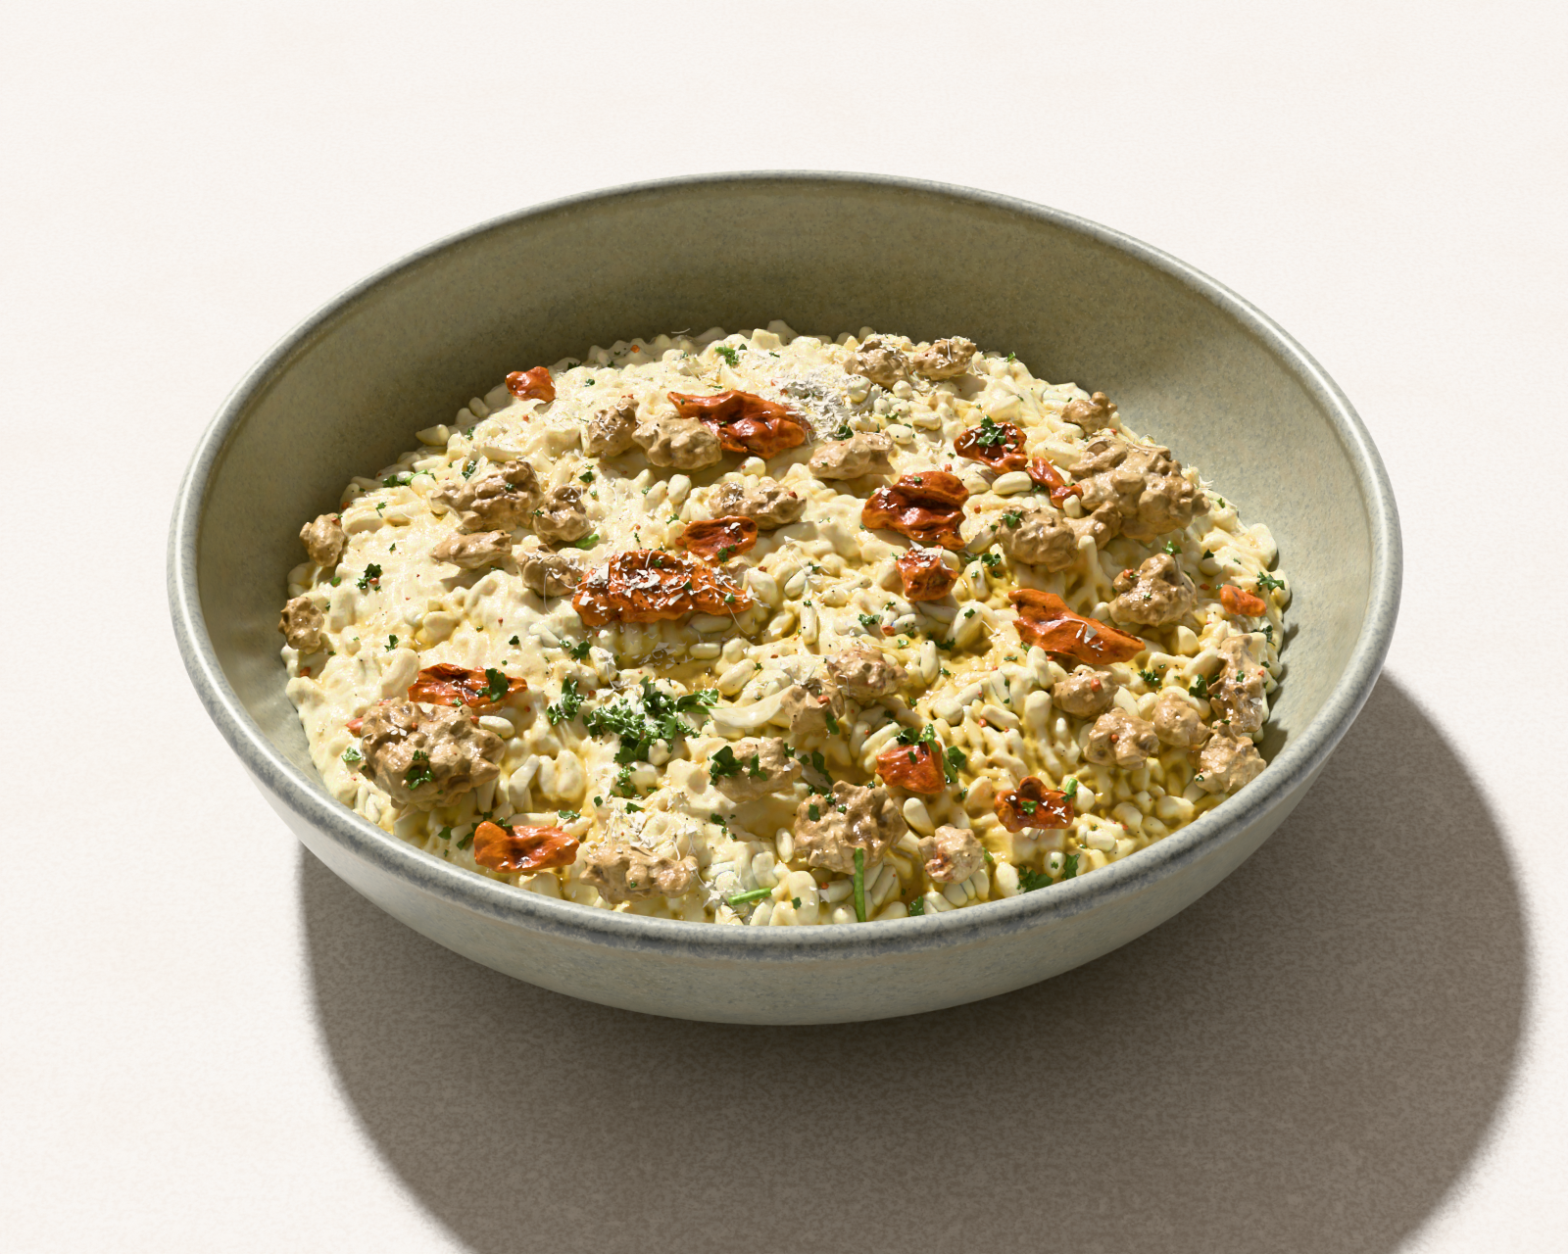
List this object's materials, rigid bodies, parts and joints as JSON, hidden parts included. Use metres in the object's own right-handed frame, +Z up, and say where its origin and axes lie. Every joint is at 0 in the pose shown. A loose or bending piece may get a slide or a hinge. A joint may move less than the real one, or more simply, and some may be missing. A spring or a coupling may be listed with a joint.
{
  "type": "sausage risotto",
  "caption": "Creamy risotto with crumbled sausage, dried tomato, chopped parsley and grated cheese, domed in a round stoneware pasta bowl with a rolled rim.",
  "frame": {"origin": "middle of the face that the bowl's foot ring rests on", "axes": "+Z up, -Y towards the diner, +X to the right"},
  "size_m": [0.2198, 0.2198, 0.054],
  "materials": {
    "stoneware": "satin grey-green glaze with fine blue-grey and tan speckle, darker and bluer round the rim",
    "rice": "cooked rice in glossy pale yellow cream sauce",
    "sausage": "cooked pork sausage crumbles, wet and knobbly",
    "tomato": "wrinkled oily dried tomato",
    "parsley": "wet chopped herb leaf",
    "cheese": "finely grated hard cheese"
  },
  "bodies": {
    "root": {"bowl": "stoneware", "risotto": "rice", "tomato_01": "tomato", "tomato_02": "tomato", "tomato_03": "tomato", "tomato_04": "tomato", "tomato_05": "tomato", "tomato_06": "tomato", "tomato_07": "tomato", "tomato_08": "tomato", "tomato_09": "tomato", "tomato_10": "tomato", "tomato_11": "tomato", "tomato_12": "tomato", "tomato_13": "tomato", "tomato_14": "tomato", "sausage_01": "sausage", "sausage_02": "sausage", "sausage_03": "sausage", "sausage_04": "sausage", "sausage_05": "sausage", "sausage_06": "sausage", "sausage_07": "sausage", "sausage_08": "sausage", "sausage_09": "sausage", "sausage_10": "sausage", "sausage_11": "sausage", "sausage_12": "sausage", "sausage_13": "sausage", "sausage_14": "sausage", "sausage_15": "sausage", "sausage_16": "sausage", "sausage_17": "sausage", "sausage_18": "sausage", "sausage_19": "sausage", "sausage_20": "sausage", "sausage_21": "sausage", "sausage_22": "sausage", "sausage_23": "sausage", "sausage_24": "sausage", "sausage_25": "sausage", "sausage_26": "sausage", "sausage_27": "sausage", "sausage_28": "sausage", "sausage_29": "sausage"}
  },
  "joints": []
}
